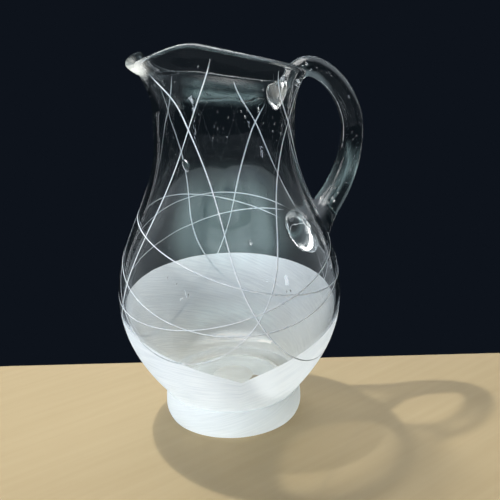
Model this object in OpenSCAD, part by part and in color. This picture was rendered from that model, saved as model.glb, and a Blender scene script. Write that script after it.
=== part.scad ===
// Hand-blown glass pitcher: one blown body with a pulled lip, a foot ring and a drawn rod handle.
// The axis of the body is Z, the table is Z = 0, the handle points along +X and the lip along -X.

/* [Body] */
// Height of the highest point of the rim above the table
rim_z = 238; // [230:1:250]
// Outer radius of the body where it leaves the foot
seat_r = 44; // [42:0.5:46]
// Outer radius of the belly
belly_r = 72; // [68:0.5:76]
// Height of the widest part of the belly
belly_z = 84; // [80:1:90]
// Outer radius of the neck
neck_r = 43.5; // [41:0.5:46]
// Height of the narrowest part of the neck
neck_z = 188; // [182:1:192]
// Outer radius of the mouth at its rim
rim_r = 50.2; // [48:0.2:53]
// Thickness of the wall
wall = 2.8; // [2.2:0.1:3.4]
// Thickness of the floor in its middle
floor_t = 6; // [5:0.5:8]
// Thickness of the fire-polished edge of the rim
edge_t = 4.2; // [3.6:0.1:5]
// Width of the dish ground into the underside where the blowing rod broke off
pontil_d = 26; // [20:1:34]
// Depth of that dish
pontil_depth = 1.2; // [0.8:0.1:2]

/* [Curve of the body] */
// Angle at which the wall leaves the foot, from the flat
base_angle = 52; // [42:1:58]
// How far the wall keeps that direction
base_pull = 17; // [12:1:21]
// How far the wall runs upright under the widest part
belly_pull_low = 31; // [26:1:36]
// How far the wall runs upright over the widest part
belly_pull_high = 43; // [36:1:48]
// How far the wall runs upright under the neck
neck_pull_low = 44; // [36:1:50]
// How far the wall runs upright over the neck
neck_pull_high = 22; // [16:1:26]
// Lean of the wall at the rim, from upright
flare_angle = 32; // [24:1:38]
// How far the wall keeps that lean
flare_pull = 13; // [9:1:16]

/* [Rim] */
// How much lower the rim is at the handle than at its highest points
back_fall = 16; // [10:1:18]
// How much lower the rim is in the middle of the lip
lip_fall = 9.5; // [5:0.5:11]
// How much lower one side of the rim is than the other, between lip and handle
side_fall = 4.5; // [0:0.5:5]
// Angle from the lip to each highest point of the rim
peak_angle = 36; // [32:1:44]
// Height of the band under the rim that waves with it
wave_h = 56; // [50:1:60]

/* [Lip] */
// How far the lip is pulled out of the round mouth
lip_reach = 12.4; // [9:0.2:14.4]
// Half the angle that the lip takes of the mouth
lip_angle = 32; // [26:1:36]
// Depth under the top of the rim at which the throat of the lip leaves the neck
throat_h = 42; // [36:1:46]
// Pull of the throat before the lip turns out
throat_reach = 6; // [4:0.5:7]
// Depth under the top of the rim at which the lip turns out
shelf_h = 16; // [14:0.5:18]
// Height over which the lip turns out and stands up again
shelf_turn = 9; // [7:0.5:11]
// How far the shoulders of the lip roll back in above that
lip_curl = 3; // [1:0.5:4]

/* [Foot] */
// Height of the foot ring
foot_h = 19; // [16:0.5:22]
// How much further in the foot's side is at the table than at its top
foot_draw = 1.5; // [0:0.1:3]
// Bulge of the foot's side beyond its top edge
foot_bulge = 0.9; // [0.5:0.1:1.6]
// Height of the widest part of the foot
foot_bulge_z = 7.5; // [6:0.5:9]
// Ledge of the foot outside the body that sits on it
foot_ledge = 0.9; // [0.5:0.1:1.6]
// Thickness of the foot ring at its top, from its side to the hollow under the foot
foot_wall = 14.9; // [11:0.1:18]
// Width of the ground ring that the pitcher rests on
rest_w = 4.6; // [3.6:0.2:6]
// Bevel on both edges of the ground ring
rest_bevel = 0.8; // [0.4:0.1:1.2]

/* [Handle] */
// Thickness of the rod where it is thinnest, near its top
rod_top_d = 13.4; // [12:0.2:15]
// Thickness of the rod at its outermost point
rod_mid_d = 15.8; // [15:0.2:18]
// Thickness of the rod above the wad
rod_low_d = 20.5; // [18:0.5:22]
// Distance from the axis to the outermost point of the rod's centre line
handle_reach = 112.5; // [105:0.5:116]
// Height of that point
handle_z = 180; // [174:1:186]
// How far the rod runs upright below that point
handle_pull_low = 30; // [24:1:34]
// How far the rod runs upright above that point
handle_pull_high = 23; // [18:1:28]
// Rise of the rod's centre line above the rim behind it
arch_rise = 3.2; // [1:0.2:6]
// Distance from the axis to the top of that arch
arch_r = 69; // [66:1:74]
// How far the rod runs level outside the top of the arch
arch_pull = 19; // [14:1:22]
// Height of the middle of the lower wad on the belly
wad_z = 113; // [108:1:118]
// Width of the lower wad on the belly
wad_w = 34; // [28:1:38]
// Height of the lower wad on the belly
wad_h = 33; // [28:1:38]
// Thickness of the lower wad at its edge
wad_edge = 6.5; // [5:0.5:8]
// Angle at which the rod leaves the lower wad, from the flat
wad_angle = 33; // [26:1:40]
// How far the rod keeps that direction
wad_pull = 24; // [18:1:28]
// Depth from the rim to the middle of the upper pad
pad_drop = 10; // [8:0.5:12]
// Width of the upper pad on the neck
pad_w = 22; // [18:0.5:25]
// Height of the upper pad above its middle
pad_up = 7.5; // [6:0.5:9]
// Length of the tail that the upper pad draws down
pad_tail = 14; // [10:0.5:18]
// Thickness of the upper pad at its edge
pad_edge = 4; // [3:0.5:5]
// Gap between the wall and the rod's ends
seat_gap = 0.2; // [0.15:0.05:0.4]

/* [Hidden] */
sides = 64;             // points round the body, closer together at the lip
lip_crowd = 20;         // degrees by which they crowd there
rod_sides = 24;         // points round the rod
foot_fn = 96;           // fineness of the turned foot
probe_s = 0.004;        // steps that measure the slope of the wall
probe_a = 0.2;

// Places that follow from the sizes above
edge_r = edge_t / 2;
top_z = rim_z - edge_r * (1 + sin(flare_angle));
back_rim_z = rim_z - back_fall;
foot_top_r = seat_r + foot_ledge;
foot_base_r = foot_top_r - foot_draw;
hollow_r = foot_top_r - foot_wall;
floor_z = foot_h + floor_t;
lip_at = 180;

// Smooth step from 0 to 1, flat at both ends.
function ease(u) = let (c = min(max(u, 0), 1)) c * c * (3 - 2 * c);
// Wave from 0 to 1, flat at both ends.
function swell(u) = (1 - cos(180 * min(max(u, 0), 1))) / 2;
// Point of a cubic curve with end points p[0] and p[3] and pulls p[1] and p[2].
function cubic(p, u) =
    pow(1 - u, 3) * p[0] + 3 * pow(1 - u, 2) * u * p[1] + 3 * (1 - u) * u * u * p[2] + u * u * u * p[3];
function unit(v) = v / norm(v);
function mix(a, b, u) = a * (1 - u) + b * u;
function flip(list) = [for (i = [len(list) - 1 : -1 : 0]) list[i]];
function around(count) = [for (i = [0 : count - 1]) 360 * i / count];

// Outline of the round body as radius and height: foot to belly, belly to neck, neck to rim.
base_curve = [
    [seat_r, foot_h],
    [seat_r + base_pull * cos(base_angle), foot_h + base_pull * sin(base_angle)],
    [belly_r, belly_z - belly_pull_low],
    [belly_r, belly_z]
];
shoulder_curve = [
    [belly_r, belly_z],
    [belly_r, belly_z + belly_pull_high],
    [neck_r, neck_z - neck_pull_low],
    [neck_r, neck_z]
];
mouth_curve = [
    [neck_r, neck_z],
    [neck_r, neck_z + neck_pull_high],
    [rim_r - flare_pull * sin(flare_angle), top_z - flare_pull * cos(flare_angle)],
    [rim_r, top_z]
];
curves = [base_curve, shoulder_curve, mouth_curve];

// Place s runs from 0 at the foot to 3 at the rim, one for each curve.
function outline(s) = let (k = min(floor(s), 2)) cubic(curves[k], s - k);

// Angle from the middle of the lip, and how far the rim lies there under its highest points.
function from_lip(a) = abs((a - lip_at + 540) % 360 - 180);
back_power = 0.6;
front_power = 1.3;
side_angle = 120;
function rim_fall(a) =
    let (
        d = from_lip(a),
        back = max(d - peak_angle, 0) / (180 - peak_angle),
        front = max(1 - d / peak_angle, 0),
        side = sin(a) > 0 && d < side_angle ? pow(sin(180 * d / side_angle), 2) : 0
    )
    back_fall * swell(pow(back, back_power))
    + lip_fall * swell(pow(front, front_power))
    + side_fall * side;

// How far the wall is pulled out in the middle of the lip, at a depth under the top of the rim:
// first the throat, then the shelf with its round turn, at last the curl of its shoulders.
shelf_power = 0.75;
function lip_pull(depth) =
    let (shelf = min(max((shelf_h - depth) / shelf_turn, 0), 1))
    throat_reach * ease((throat_h - depth) / (throat_h - shelf_h))
    + (lip_reach - throat_reach) * sin(90 * pow(shelf, shelf_power))
    - lip_curl * ease(1 - depth / (shelf_h - shelf_turn));
function lip_window(a) = let (d = from_lip(a)) d < lip_angle ? pow(cos(90 * d / lip_angle), 2) : 0;

// Point of the outer face at place s and angle a, and the direction that it faces.
function wall_point(s, a) =
    let (
        q = outline(s),
        z = q[1] - ease(1 - (top_z - q[1]) / wave_h) * rim_fall(a),
        r = q[0] + lip_window(a) * lip_pull(rim_z - z)
    )
    [r * cos(a), r * sin(a), z];
function wall_slope(s, a) =
    let (low = max(s - probe_s, 0), high = min(s + probe_s, 3))
    unit(wall_point(high, a) - wall_point(low, a));
function wall_face(s, a) =
    unit(cross(wall_point(s, a + probe_a) - wall_point(s, a - probe_a), wall_slope(s, a)));

// The wall grows thicker towards the fire-polished edge, over a share of the last curve.
edge_grow_share = 0.33;
function thickness(s) = wall + (edge_t - wall) * ease(1 - (3 - s) / edge_grow_share);
function inner_point(s, a) = wall_point(s, a) - thickness(s) * wall_face(s, a);

// The edge is half a circle from the outer to the inner face.
function edge_point(turn, a) =
    let (
        face = wall_face(3, a),
        middle = wall_point(3, a) - edge_r * face
    )
    middle + edge_r * (cos(turn) * face + sin(turn) * wall_slope(3, a));

// Inside, the wall runs into the floor along one more curve, from a share of the first curve.
floor_share = 0.42;
function floor_curve(a) =
    let (
        start = inner_point(floor_share, a),
        slope = wall_slope(floor_share, a),
        r = norm([start[0], start[1]]),
        run = norm([slope[0], slope[1]]),
        drop = (start[2] - floor_z) / slope[2]
    )
    [[r, start[2]], [r - drop * run, floor_z], [r - drop * run - floor_t, floor_z], [0, floor_z]];
function floor_point(u, a) =
    let (q = cubic(floor_curve(a), u)) [q[0] * cos(a), q[0] * sin(a), q[1]];

// Underside: flat where it sits on the foot, with the ground dish in the middle.
function under_point(r, a) =
    let (dish = pontil_depth * max(1 - pow(2 * r / pontil_d, 2), 0))
    [r * cos(a), r * sin(a), foot_h + dish];

// Closed skin over rings of equal length, with a point at each end.
function skin_faces(rings, n) = concat(
    [for (i = [0 : rings - 2], j = [0 : n - 1], half = [0, 1])
        let (k = (j + 1) % n, low = i * n, high = (i + 1) * n)
        half == 0 ? [low + j, high + j, high + k] : [low + j, high + k, low + k]],
    [for (j = [0 : n - 1]) [rings * n, j, (j + 1) % n]],
    [for (j = [0 : n - 1])
        let (last = (rings - 1) * n)
        [rings * n + 1, last + (j + 1) % n, last + j]]
);
module skin(rings, first, last) {
    points = concat([for (ring = rings) each ring], [first, last]);
    polyhedron(points, skin_faces(len(rings), len(rings[0])), convexity = 8);
}

// Blown body: underside, outer face, fire-polished edge, inner face and floor.
body_angles = [for (a = around(sides)) a + lip_crowd * sin(a)];
dish_shares = [0.34, 0.67, 1];
outer_places = concat(
    [for (i = [0 : 8]) i / 9],
    [for (i = [0 : 9]) 1 + i / 10],
    [for (i = [0 : 4]) 2 + i / 10],
    [for (i = [0 : 12]) 2.5 + i / 24]
);
edge_turns = [36, 72, 108, 144];
inner_places = flip([for (s = outer_places) if (s > floor_share + probe_s) s]);
floor_shares = [0, 0.16, 0.34, 0.54, 0.76];
module body() {
    rings = concat(
        [for (u = dish_shares) [for (a = body_angles) under_point(u * pontil_d / 2, a)]],
        [for (s = outer_places) [for (a = body_angles) wall_point(s, a)]],
        [for (t = edge_turns) [for (a = body_angles) edge_point(t, a)]],
        [for (s = inner_places) [for (a = body_angles) inner_point(s, a)]],
        [for (u = floor_shares) [for (a = body_angles) floor_point(u, a)]]
    );
    color("lightcyan", 0.5)
        skin(rings, [0, 0, foot_h + pontil_depth], [0, 0, floor_z]);
}

// Foot ring: barrelled side, ground resting ring, hollow underside and flat top under the body.
foot_rows = 6;
function foot_side_r(z) =
    z < foot_bulge_z
    ? foot_top_r + foot_bulge
        - (foot_top_r + foot_bulge - foot_base_r) * pow(1 - z / foot_bulge_z, 2)
    : foot_top_r + foot_bulge * (1 - pow((z - foot_bulge_z) / (foot_h - foot_bulge_z), 2));
rest_out_r = foot_base_r - rest_bevel;
rest_in_r = rest_out_r - rest_w;
hollow_low_r = rest_in_r - rest_bevel;
module foot() {
    side = [for (i = [1 : foot_rows])
        let (z = rest_bevel + (foot_h - rest_bevel) * i / foot_rows)
        [foot_side_r(z), z]];
    hollow = [for (i = [0 : foot_rows])
        let (turn = 90 * i / foot_rows)
        [hollow_low_r - (hollow_low_r - hollow_r) * (1 - cos(turn)),
            rest_bevel + (foot_h - rest_bevel) * sin(turn)]];
    color("white")
        rotate_extrude($fn = foot_fn)
            polygon(concat(
                [[rest_in_r, 0], [rest_out_r, 0], [foot_side_r(rest_bevel), rest_bevel]],
                side,
                flip(hollow)
            ));
}

// Centre line of the handle in the upright plane through the axis, as distance from the axis and height.
// It leaves the wad, stands upright at its outermost point, arches over and comes down on the pad.
function place_at(z, low = 0, high = 3, count = 22) =
    let (s = (low + high) / 2)
    count == 0 ? s
    : wall_point(s, 0)[2] < z ? place_at(z, s, high, count - 1)
    : place_at(z, low, s, count - 1);
function neck_out(z) = wall_point(place_at(z), 0)[0];
pad_z = back_rim_z - pad_drop;
arch_z = back_rim_z + arch_rise;
wad_r = neck_out(wad_z);
pad_r = neck_out(pad_z);
arch_share = 0.35;      // how far the arch runs level towards the pad
pad_lean = 40;
rod_curves = [
    [
        [wad_r, wad_z],
        [wad_r + wad_pull * cos(wad_angle), wad_z + wad_pull * sin(wad_angle)],
        [handle_reach, handle_z - handle_pull_low],
        [handle_reach, handle_z]
    ],
    [
        [handle_reach, handle_z],
        [handle_reach, handle_z + handle_pull_high],
        [arch_r + arch_pull, arch_z],
        [arch_r, arch_z]
    ],
    [
        [arch_r, arch_z],
        [mix(arch_r, pad_r, arch_share), arch_z],
        [pad_r + (arch_z - pad_z) / 2 / tan(pad_lean), (arch_z + pad_z) / 2],
        [pad_r, pad_z]
    ]
];
function rod_line(t) = let (k = min(floor(t), 2)) cubic(rod_curves[k], t - k);
function rod_slope(t) = unit(rod_line(min(t + probe_s, 3)) - rod_line(max(t - probe_s, 0)));
// Thickness along the rod: thick above the wad, thinnest near the arch.
function rod_d(t) =
    t < 1 ? mix(rod_low_d, rod_mid_d, ease(t))
    : t < 2 ? mix(rod_mid_d, rod_top_d, ease(t - 1))
    : rod_top_d;
function rod_point(t, a) =
    let (
        q = rod_line(t),
        v = rod_slope(t),
        r = rod_d(t) / 2
    )
    [q[0] + r * cos(a) * v[1], r * sin(a), q[1] - r * cos(a) * v[0]];

// Places on the wall under the rod's ends. Angle 0 is away from the axis on the rod, so it is below
// on the wad and above on the pad; share runs from 0 in the middle to 1 at the edge.
tail_share = 0.45;      // how much the pad narrows towards the tip of its tail
function wall_place(y, z) =
    let (s = place_at(z), a = asin(y / wall_point(s, 0)[0])) [s, a];
function wad_place(a, share) =
    wall_place(share * wad_w / 2 * sin(a), wad_z - share * wad_h / 2 * cos(a));
function pad_place(a, share) =
    let (
        down = a > 90 && a < 270,
        width = down ? 1 + tail_share * pow(cos(a), 3) : 1
    )
    wall_place(
        share * pad_w / 2 * sin(a) * width,
        pad_z + share * cos(a) * (down ? pad_tail : pad_up)
    );
function seat(place) = wall_point(place[0], place[1]) + seat_gap * wall_face(place[0], place[1]);

// Rings of the rod: each end starts in the middle of its seat and spreads over the wall to its edge,
// turns out from the wall and runs into the rod.
rod_angles = around(rod_sides);
seat_shares = [0.25, 0.5, 0.75, 1];
turn_shares = [0.15, 0.35, 0.55, 0.78];
rod_rows = 32;
wad_end = 0.32;         // places on the centre line where the free rod begins and ends
pad_end = 2.5;
function turn_ring(places, edge, end, pull, u) =
    [for (i = [0 : rod_sides - 1])
        let (
            root = seat(places[i]),
            face = wall_face(places[i][0], places[i][1]),
            v = rod_slope(end),
            to = rod_point(end, rod_angles[i])
        )
        cubic([root, root + edge * face, to - pull * [v[0], 0, v[1]], to], u)];
module handle() {
    wad = [for (a = rod_angles) wad_place(a, 1)];
    pad = [for (a = rod_angles) pad_place(a, 1)];
    wad_seat = [for (u = seat_shares) [for (a = rod_angles) seat(wad_place(a, u))]];
    pad_seat = [for (u = seat_shares) [for (a = rod_angles) seat(pad_place(a, u))]];
    wad_turn = [for (u = turn_shares) turn_ring(wad, wad_edge, wad_end, wad_edge, u)];
    pad_turn = [for (u = turn_shares) turn_ring(pad, pad_edge, pad_end, -pad_edge, u)];
    rod = [for (i = [0 : rod_rows])
        [for (a = rod_angles) rod_point(mix(wad_end, pad_end, i / rod_rows), a)]];
    color("azure", 0.6)
        skin(
            concat(wad_seat, wad_turn, rod, flip(pad_turn), flip(pad_seat)),
            seat(wad_place(0, 0)),
            seat(pad_place(0, 0))
        );
}

body();
foot();
handle();
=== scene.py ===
from math import cos, radians, sin

import bpy
import numpy as np
from mathutils import Matrix, Vector


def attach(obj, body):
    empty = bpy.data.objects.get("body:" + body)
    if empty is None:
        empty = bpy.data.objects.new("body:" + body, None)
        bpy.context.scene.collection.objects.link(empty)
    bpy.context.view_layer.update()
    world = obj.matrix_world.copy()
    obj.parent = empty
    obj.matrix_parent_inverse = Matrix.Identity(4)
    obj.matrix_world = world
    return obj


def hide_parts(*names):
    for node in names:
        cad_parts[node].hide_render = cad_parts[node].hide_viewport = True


# A hand-blown glass pitcher on a pale table: a clear body with a frosted lower zone and fine cut lines,
# a frosted foot ring and a drawn clear handle. Lengths are in millimetres until a mesh is made.
# Angles round the body are in radians from the handle, so the lip is at pi.
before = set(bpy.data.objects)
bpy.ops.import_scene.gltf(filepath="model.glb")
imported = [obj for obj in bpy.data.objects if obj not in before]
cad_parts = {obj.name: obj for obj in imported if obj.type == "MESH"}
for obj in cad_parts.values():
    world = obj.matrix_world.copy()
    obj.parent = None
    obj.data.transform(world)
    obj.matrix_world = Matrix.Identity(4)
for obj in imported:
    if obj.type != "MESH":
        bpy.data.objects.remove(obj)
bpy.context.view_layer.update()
MM = 0.001

# --- Camera: the photo's view, fitted to the outline, both edges of the rim and the foot ---

CAMERA_TURN = 35.0        # degrees from square on to the handle, towards the lip
CAMERA_AWAY = 407.5       # from the axis of the pitcher, level
CAMERA_UP = 221.9         # above the table
CAMERA_PITCH = 15.24      # degrees down
CAMERA_YAW = 1.95         # degrees to the right of the axis
CAMERA_ROLL = -1.54       # degrees
CAMERA_LENS = 46.8        # on a film 36 wide


def photo_camera():
    """The camera stands on a level circle round the axis, and is turned, pitched and rolled, in that
    order."""
    data = bpy.data.cameras.new("photo_camera")
    data.sensor_width = 36
    data.lens = CAMERA_LENS
    data.clip_start = 0.01
    camera = bpy.data.objects.new("photo_camera", data)
    bpy.context.scene.collection.objects.link(camera)
    turn = radians(CAMERA_TURN)
    place = Vector((-sin(turn) * CAMERA_AWAY, -cos(turn) * CAMERA_AWAY, CAMERA_UP)) * MM
    camera.matrix_world = (
        Matrix.Translation(place)
        @ Matrix.Rotation(-radians(CAMERA_TURN + CAMERA_YAW), 4, "Z")
        @ Matrix.Rotation(radians(90 - CAMERA_PITCH), 4, "X")
        @ Matrix.Rotation(radians(CAMERA_ROLL), 4, "Z")
    )
    bpy.context.scene.camera = camera


photo_camera()

# --- Sizes, the same as the CAD solids' ---

RIM_Z, BACK_FALL, LIP_FALL, SIDE_FALL = 238.0, 16.0, 9.5, 4.5
PEAK_ANGLE, SIDE_ANGLE, WAVE_H = radians(36), radians(120), 56.0
SEAT_R, BELLY_R, BELLY_Z, NECK_R, NECK_Z, RIM_R = 44.0, 72.0, 84.0, 43.5, 188.0, 50.2
WALL, FLOOR_T, EDGE_T = 2.8, 6.0, 4.2
BASE_ANGLE, BASE_PULL, BELLY_LOW, BELLY_HIGH = radians(52), 17.0, 31.0, 43.0
NECK_LOW, NECK_HIGH, FLARE_ANGLE, FLARE_PULL = 44.0, 22.0, radians(32), 13.0
LIP_REACH, LIP_ANGLE, THROAT_H, THROAT_REACH = 12.4, radians(32), 42.0, 6.0
SHELF_H, SHELF_TURN, LIP_CURL = 16.0, 9.0, 3.0
FOOT_H, FOOT_LEDGE, FOOT_DRAW, FOOT_BULGE, FOOT_BULGE_Z = 19.0, 0.9, 1.5, 0.9, 7.5
FOOT_WALL, REST_W, REST_BEVEL, PONTIL_D, PONTIL_DEPTH = 14.9, 4.6, 0.8, 26.0, 1.2
ROD_TOP_D, ROD_MID_D, ROD_LOW_D = 13.4, 15.8, 20.5
HANDLE_REACH, HANDLE_Z, HANDLE_LOW, HANDLE_HIGH = 112.5, 180.0, 30.0, 23.0
ARCH_RISE, ARCH_R, ARCH_PULL, ARCH_SHARE, PAD_LEAN = 3.2, 69.0, 19.0, 0.35, radians(40)
WAD_Z, WAD_W, WAD_H, WAD_EDGE, WAD_ANGLE, WAD_PULL = 113.0, 34.0, 33.0, 6.5, radians(33), 24.0
PAD_DROP, PAD_W, PAD_UP, PAD_TAIL, PAD_EDGE, TAIL_SHARE = 10.0, 22.0, 7.5, 14.0, 4.0, 0.45
FLOOR_SHARE = 0.42        # place on the outline at which the floor's curve leaves the wall
EDGE_GROW_SHARE = 0.33    # last share of the outline, over which the wall grows to its edge
SEAT_GAP = 0.03           # the pads are fused on: a hair's breadth, so that no two faces coincide
SEAM = 0.03               # the same between the body and the foot

EDGE_R = EDGE_T / 2
TOP_Z = RIM_Z - EDGE_R * (1 + sin(FLARE_ANGLE))
FLOOR_Z = FOOT_H + FLOOR_T
FOOT_TOP_R = SEAT_R + FOOT_LEDGE
HOLLOW_R = FOOT_TOP_R - FOOT_WALL
PAD_Z = RIM_Z - BACK_FALL - PAD_DROP
ARCH_Z = RIM_Z - BACK_FALL + ARCH_RISE
OUTLINE = np.array([
    [[SEAT_R, FOOT_H],
     [SEAT_R + BASE_PULL * cos(BASE_ANGLE), FOOT_H + BASE_PULL * sin(BASE_ANGLE)],
     [BELLY_R, BELLY_Z - BELLY_LOW], [BELLY_R, BELLY_Z]],
    [[BELLY_R, BELLY_Z], [BELLY_R, BELLY_Z + BELLY_HIGH],
     [NECK_R, NECK_Z - NECK_LOW], [NECK_R, NECK_Z]],
    [[NECK_R, NECK_Z], [NECK_R, NECK_Z + NECK_HIGH],
     [RIM_R - FLARE_PULL * sin(FLARE_ANGLE), TOP_Z - FLARE_PULL * cos(FLARE_ANGLE)], [RIM_R, TOP_Z]],
])


# --- The blown wall ---

STEP, TURN_STEP = 0.004, 0.003      # near places and angles, from which slopes are taken


def ease(u):
    """Smooth step 3u^2 - 2u^3 from 0 to 1."""
    c = np.clip(u, 0, 1)
    return c * c * (3 - 2 * c)


def swell(u):
    """Half a cosine wave from 0 to 1."""
    return (1 - np.cos(np.pi * np.clip(u, 0, 1))) / 2


def cubic(p, t):
    """Cubic Bezier curve: the four points of p, on its second axis from the end, weighted by t."""
    t = np.asarray(t, float)
    w = np.stack([(1 - t) ** 3, 3 * (1 - t) ** 2 * t, 3 * (1 - t) * t * t, t ** 3], -1)
    return (w[..., None] * p).sum(-2)


def unit(v):
    """Each vector over its length."""
    return v / np.linalg.norm(v, axis=-1, keepdims=True)


def ring(r, a, z):
    """Point at distance r from the axis, angle a and height z."""
    r, a, z = np.broadcast_arrays(r, a, z)
    return np.stack([r * np.cos(a), r * np.sin(a), z], -1)


def outline(s):
    """Radius and height at place s: 0 at the foot, 1 at the belly, 2 at the neck, 3 at the rim."""
    k = np.clip(np.floor(s), 0, 2).astype(int)
    return cubic(OUTLINE[k], s - k)


def rim_fall(a):
    """How far the rim lies under its highest point: a half wave to the back, one to the lip and a dip
    on one side."""
    d = np.abs(np.mod(a, 2 * np.pi) - np.pi)
    back = np.clip(d - PEAK_ANGLE, 0, None) / (np.pi - PEAK_ANGLE)
    front = np.clip(1 - d / PEAK_ANGLE, 0, None)
    side = np.where((np.sin(a) > 0) & (d < SIDE_ANGLE), np.sin(np.pi * d / SIDE_ANGLE) ** 2, 0)
    return BACK_FALL * swell(back ** 0.6) + LIP_FALL * swell(front ** 1.3) + SIDE_FALL * side


def lip_pull(depth):
    """Pull of the lip at a depth under the rim: a throat, then a round shelf, then a curl back in."""
    shelf = np.clip((SHELF_H - depth) / SHELF_TURN, 0, 1)
    return (
        THROAT_REACH * ease((THROAT_H - depth) / (THROAT_H - SHELF_H))
        + (LIP_REACH - THROAT_REACH) * np.sin(np.pi / 2 * shelf ** 0.75)
        - LIP_CURL * ease(1 - depth / (SHELF_H - SHELF_TURN))
    )


def wall_points(s, a):
    """Outer face: the outline turned round the axis, lowered near the rim by the wave of the rim, and
    pulled out by the lip inside a window of cosine squared."""
    q = outline(s)
    z = q[..., 1] - ease(1 - (TOP_Z - q[..., 1]) / WAVE_H) * rim_fall(a)
    d = np.abs(np.mod(a, 2 * np.pi) - np.pi)
    window = np.where(d < LIP_ANGLE, np.cos(np.pi / 2 * np.minimum(d / LIP_ANGLE, 1)) ** 2, 0)
    return ring(q[..., 0] + window * lip_pull(RIM_Z - z), a, z)


def wall_slopes(s, a):
    """Direction up the wall, from two near places of the outline."""
    low, high = np.maximum(s - STEP, 0), np.minimum(s + STEP, 3)
    return unit(wall_points(high, a) - wall_points(low, a))


def wall_faces(s, a):
    """Direction that the outer face looks: across the ring, times up the wall."""
    across = wall_points(s, a + TURN_STEP) - wall_points(s, a - TURN_STEP)
    return unit(np.cross(across, wall_slopes(s, a)))


def inner_points(s, a):
    """Inner face: the outer face moved in by the wall, which grows thicker towards the edge."""
    t = WALL + (EDGE_T - WALL) * ease(1 - (3 - s) / EDGE_GROW_SHARE)
    return wall_points(s, a) - np.asarray(t)[..., None] * wall_faces(s, a)


def edge_points(turn, a):
    """Fire-polished edge: half a circle from the outer to the inner face."""
    face, slope = wall_faces(3.0 + 0 * a, a), wall_slopes(3.0 + 0 * a, a)
    middle = wall_points(3.0 + 0 * a, a) - EDGE_R * face
    return middle + EDGE_R * (np.cos(turn)[..., None] * face + np.sin(turn)[..., None] * slope)


def floor_points(u, a):
    """Inner floor: one curve from the wall, in the wall's direction, to the flat middle."""
    start = inner_points(FLOOR_SHARE + 0 * a, a)
    slope = wall_slopes(FLOOR_SHARE + 0 * a, a)
    r, z = np.hypot(start[..., 0], start[..., 1]), start[..., 2]
    inwards = (z - FLOOR_Z) / slope[..., 2] * np.hypot(slope[..., 0], slope[..., 1])
    level = FLOOR_Z + 0 * r
    p = np.stack([
        np.stack([r, z], -1), np.stack([r - inwards, level], -1),
        np.stack([r - inwards - FLOOR_T, level], -1), np.stack([0 * r, level], -1),
    ], -2)
    q = cubic(p, u)
    return ring(q[..., 0], a, q[..., 1])


def first_over(s, over):
    """Place at which each column of over first passes zero: the first of the places s past it, taken
    back in proportion."""
    k = np.argmax(over > 0, axis=0)
    at = np.arange(over.shape[1])
    low, high = over[k - 1, at], over[k, at]
    return s[k - 1] + (s[k] - s[k - 1]) * -low / (high - low)


# --- Meshes from grids ---

UV_LENGTH = 100           # millimetres that a UV of 1 stands for


def grid_faces(rows, columns, close_rows):
    """Squares of a grid that closes on itself along its columns, and along its rows if asked."""
    i = np.arange(rows if close_rows else rows - 1)[:, None]
    j = np.arange(columns)[None, :]
    i2, j2 = (i + 1) % rows, (j + 1) % columns
    return np.stack(np.broadcast_arrays(i * columns + j, i * columns + j2, i2 * columns + j2,
                                        i2 * columns + j), -1).reshape(-1, 4)


def turned_out(points, quads, tris):
    """Faces turned over if the volume that they shut in comes out below zero."""
    p = points[np.concatenate([quads[:, [0, 1, 2]], quads[:, [0, 2, 3]], tris])]
    if np.einsum("ij,ij->i", p[:, 0], np.cross(p[:, 1], p[:, 2])).sum() < 0:
        return quads[:, ::-1], tris[:, ::-1]
    return quads, tris


def make_piece(name, points, quads, tris, materials, slots, uv=None, around=0.0):
    """A smooth mesh from millimetre points, with a slot number for each face and a UV for each point.
    Where a square closes the circle, its far corners go on past the UV's length once round."""
    mesh = bpy.data.meshes.new(name)
    quads, tris = turned_out(points, quads, tris)
    mesh.from_pydata((points * MM).tolist(), [], quads.tolist() + tris.tolist())
    mesh.polygons.foreach_set("use_smooth", np.ones(len(mesh.polygons), bool))
    for material in materials:
        mesh.materials.append(material)
    mesh.polygons.foreach_set("material_index", slots)
    if uv is not None:
        loops = np.zeros(len(mesh.loops), int)
        mesh.loops.foreach_get("vertex_index", loops)
        corners = uv[loops]
        u = corners[:4 * len(quads), 0].reshape(-1, 4)
        corners[:4 * len(quads), 0] = (u + around * (u < u.max(1, keepdims=True) - around / 2)).ravel()
        layer = mesh.uv_layers.new(name="along")
        layer.data.foreach_set("uv", corners.ravel())
    mesh.update()
    piece = bpy.data.objects.new(name, mesh)
    bpy.context.scene.collection.objects.link(piece)
    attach(piece, "root")
    return piece


def ring_skin(rings, first=None, last=None):
    """Points, squares and end triangles of rings that follow each other; with no end points, the last
    ring meets the first."""
    rows, columns = rings.shape[:2]
    points = rings.reshape(-1, 3)
    quads = grid_faces(rows, columns, first is None)
    tris = np.zeros((0, 3), int)
    if first is not None:
        j = np.arange(columns)
        top = (rows - 1) * columns
        points = np.concatenate([points, [first, last]])
        tris = np.concatenate([
            np.stack([np.full(columns, rows * columns), (j + 1) % columns, j], -1),
            np.stack([np.full(columns, rows * columns + 1), top + j, top + (j + 1) % columns], -1),
        ])
    return points, quads, tris


def with_gas(points, quads, tris, gas):
    """A skin and the gas bubbles in its glass as one mesh, their faces counted on from its points."""
    more, more_quads, more_tris = gas
    return (np.concatenate([points, more]), np.concatenate([quads, more_quads + len(points)]),
            np.concatenate([tris, more_tris + len(points)]))


def run_along(line):
    """Distance run along a line of points, from 0 at the first."""
    return np.concatenate([[0], np.cumsum(np.linalg.norm(np.diff(line, axis=0), axis=1))])


def turned_uv(a, radius, line):
    """UV of a grid turned round the axis: distance round at one radius, and distance run up a line."""
    uv = np.stack(np.broadcast_arrays(a * radius, run_along(line)[:, None]), -1)
    return uv.reshape(-1, 2) / UV_LENGTH


# --- Colours and materials ---

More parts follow.
